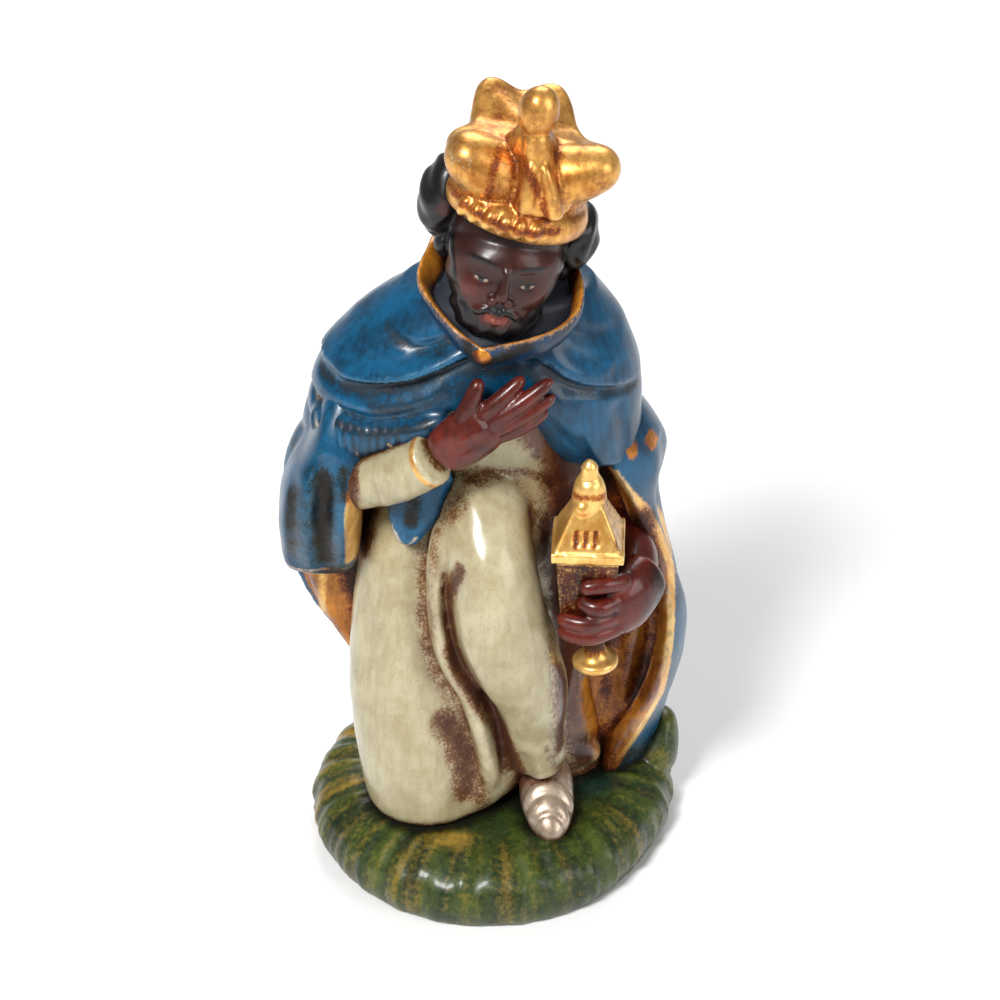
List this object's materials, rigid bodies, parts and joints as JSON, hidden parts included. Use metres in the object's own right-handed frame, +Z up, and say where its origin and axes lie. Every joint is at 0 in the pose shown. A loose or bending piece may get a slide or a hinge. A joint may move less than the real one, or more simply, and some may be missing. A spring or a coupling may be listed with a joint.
{
  "type": "nativity figurine",
  "caption": "Kneeling nativity wise man with a crown, a caped mantle and a lidded incense vessel, cast in one piece with a round grassy base",
  "frame": {"origin": "centre of the bounding box in x and y, on the flat underside at z = 0", "axes": "+Z up; the figure faces -Y and +X is at its left hand"},
  "size_m": [0.0644, 0.058, 0.1361],
  "materials": {
    "painted_plaster": "hand painted and varnished plaster: blue mantle, cream robe, gold crown and vessel, green base"
  },
  "bodies": {
    "root": {"wise_man_figurine": "painted_plaster"}
  },
  "joints": []
}
